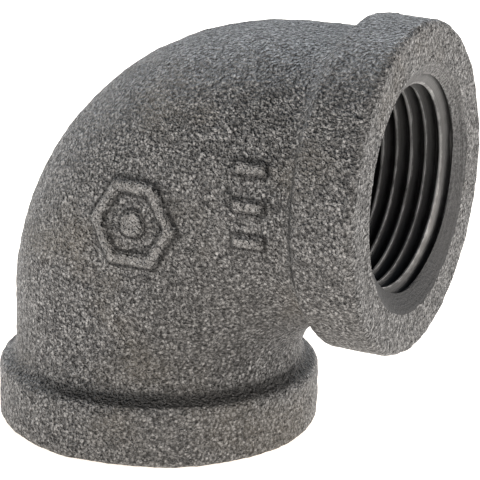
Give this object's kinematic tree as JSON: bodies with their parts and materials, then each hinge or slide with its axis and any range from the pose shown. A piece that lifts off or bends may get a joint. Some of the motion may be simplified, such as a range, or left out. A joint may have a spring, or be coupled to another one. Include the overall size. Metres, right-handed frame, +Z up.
{
  "type": "pipe elbow",
  "caption": "Banded 90 degree iron elbow that joins two threaded pipes at a right angle, with internal taper threads in both outlets.",
  "frame": {"origin": "centre of the lower outlet's end face, which the elbow stands on", "axes": "+Z up the lower outlet's axis, +X out along the side outlet's axis"},
  "size_m": [0.0528, 0.039, 0.0528],
  "materials": {
    "cast_iron": "rough as-cast black iron, machined at both outlets"
  },
  "bodies": {
    "root": {"elbow_casting": "cast_iron"}
  },
  "joints": []
}
